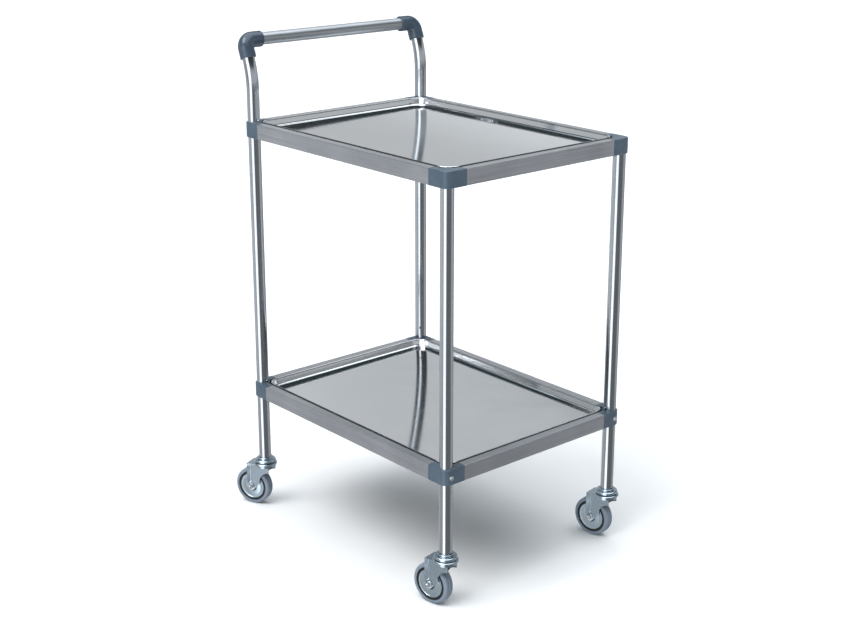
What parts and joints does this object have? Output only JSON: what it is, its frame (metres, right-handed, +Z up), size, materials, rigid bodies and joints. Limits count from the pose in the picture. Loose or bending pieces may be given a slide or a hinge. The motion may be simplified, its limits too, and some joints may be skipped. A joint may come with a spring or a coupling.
{
  "type": "service trolley",
  "caption": "Stainless service trolley with an upper and a lower shelf, lift-out trays, a push handle at one end and swivel casters.",
  "frame": {"origin": "On the floor, under the middle of the trolley's box.", "axes": "+X from the handle end to the front end, +Y to the left side, +Z up. Z = 0 is the floor under the wheels."},
  "size_m": [0.6735, 0.4959, 1.005],
  "materials": {
    "polished_tube": "polished stainless tube",
    "handle_tube": "satin stainless tube",
    "brushed_rail": "brushed stainless, grain along the rail",
    "mirror_tray": "mirror polished stainless sheet",
    "connector_plastic": "matte blue-grey moulded plastic",
    "screw_steel": "bright steel",
    "zinc_steel": "bright zinc plated pressed steel",
    "guard_steel": "zinc plated pressed sheet",
    "grey_rubber": "blue-grey rubber",
    "black_plastic": "black moulded plastic",
    "bush_plastic": "dark bearing plastic"
  },
  "bodies": {
    "frame": {"front_leg_right": "polished_tube", "front_leg_left": "polished_tube", "rear_leg_right": "polished_tube", "rear_leg_left": "polished_tube", "handle_bar": "handle_tube", "handle_elbow_right": "connector_plastic", "handle_elbow_left": "connector_plastic", "top_rail_right": "brushed_rail", "top_rail_left": "brushed_rail", "top_rail_front": "brushed_rail", "top_rail_rear": "brushed_rail", "top_corner_front_right": "connector_plastic", "top_corner_front_left": "connector_plastic", "top_corner_rear_right": "connector_plastic", "top_corner_rear_left": "connector_plastic", "low_rail_right": "brushed_rail", "low_rail_left": "brushed_rail", "low_rail_front": "brushed_rail", "low_rail_rear": "brushed_rail", "low_corner_front_right": "connector_plastic", "low_corner_front_left": "connector_plastic", "low_corner_rear_right": "connector_plastic", "low_corner_rear_left": "connector_plastic", "corner_screws": "screw_steel", "caster_stems": "zinc_steel", "race_front_right": "zinc_steel", "race_front_left": "zinc_steel", "race_rear_right": "zinc_steel", "race_rear_left": "zinc_steel"},
    "top_tray": {"top_tray": "mirror_tray"},
    "low_tray": {"low_tray": "mirror_tray"},
    "fork_front_right": {"fork_front_right": "zinc_steel", "axle_front_right": "screw_steel", "balls_front_right": "screw_steel"},
    "wheel_front_right": {"tyre_front_right": "grey_rubber", "rim_front_right": "black_plastic", "bush_front_right": "bush_plastic", "guards_front_right": "guard_steel"},
    "fork_front_left": {"fork_front_left": "zinc_steel", "axle_front_left": "screw_steel", "balls_front_left": "screw_steel"},
    "wheel_front_left": {"tyre_front_left": "grey_rubber", "rim_front_left": "black_plastic", "bush_front_left": "bush_plastic", "guards_front_left": "guard_steel"},
    "fork_rear_right": {"fork_rear_right": "zinc_steel", "axle_rear_right": "screw_steel", "balls_rear_right": "screw_steel"},
    "wheel_rear_right": {"tyre_rear_right": "grey_rubber", "rim_rear_right": "black_plastic", "bush_rear_right": "bush_plastic", "guards_rear_right": "guard_steel"},
    "fork_rear_left": {"fork_rear_left": "zinc_steel", "axle_rear_left": "screw_steel", "balls_rear_left": "screw_steel"},
    "wheel_rear_left": {"tyre_rear_left": "grey_rubber", "rim_rear_left": "black_plastic", "bush_rear_left": "bush_plastic", "guards_rear_left": "guard_steel"}
  },
  "joints": [
    {"name": "swivel_front_right", "type": "hinge", "parent": "frame", "child": "fork_front_right", "pos_m": [0.31225, -0.2175, 0.099], "axis": [0, 0, 1], "continuous": true},
    {"name": "roll_front_right", "type": "hinge", "parent": "fork_front_right", "child": "wheel_front_right", "pos_m": [0.28369, -0.22254, 0.04], "axis": [-0.1736, 0.9848, 0], "continuous": true},
    {"name": "swivel_front_left", "type": "hinge", "parent": "frame", "child": "fork_front_left", "pos_m": [0.31225, 0.2175, 0.099], "axis": [0, 0, 1], "continuous": true},
    {"name": "roll_front_left", "type": "hinge", "parent": "fork_front_left", "child": "wheel_front_left", "pos_m": [0.28361, 0.21296, 0.04], "axis": [-0.1564, 0.9877, 0], "continuous": true},
    {"name": "swivel_rear_right", "type": "hinge", "parent": "frame", "child": "fork_rear_right", "pos_m": [-0.26775, -0.2175, 0.099], "axis": [0, 0, 1], "continuous": true},
    {"name": "roll_rear_right", "type": "hinge", "parent": "fork_rear_right", "child": "wheel_rear_right", "pos_m": [-0.29424, -0.22929, 0.04], "axis": [-0.4067, 0.9135, 0], "continuous": true},
    {"name": "swivel_rear_left", "type": "hinge", "parent": "frame", "child": "fork_rear_left", "pos_m": [-0.26775, 0.2175, 0.099], "axis": [0, 0, 1], "continuous": true},
    {"name": "roll_rear_left", "type": "hinge", "parent": "fork_rear_left", "child": "wheel_rear_left", "pos_m": [-0.29675, 0.2175, 0.04], "axis": [0, 1, 0], "continuous": true},
    {"name": "top_tray_lift", "type": "slide", "parent": "frame", "child": "top_tray", "axis": [0, 0, 1], "range_m": [0, 0.15]},
    {"name": "low_tray_lift", "type": "slide", "parent": "frame", "child": "low_tray", "axis": [0, 0, 1], "range_m": [0, 0.15]}
  ]
}
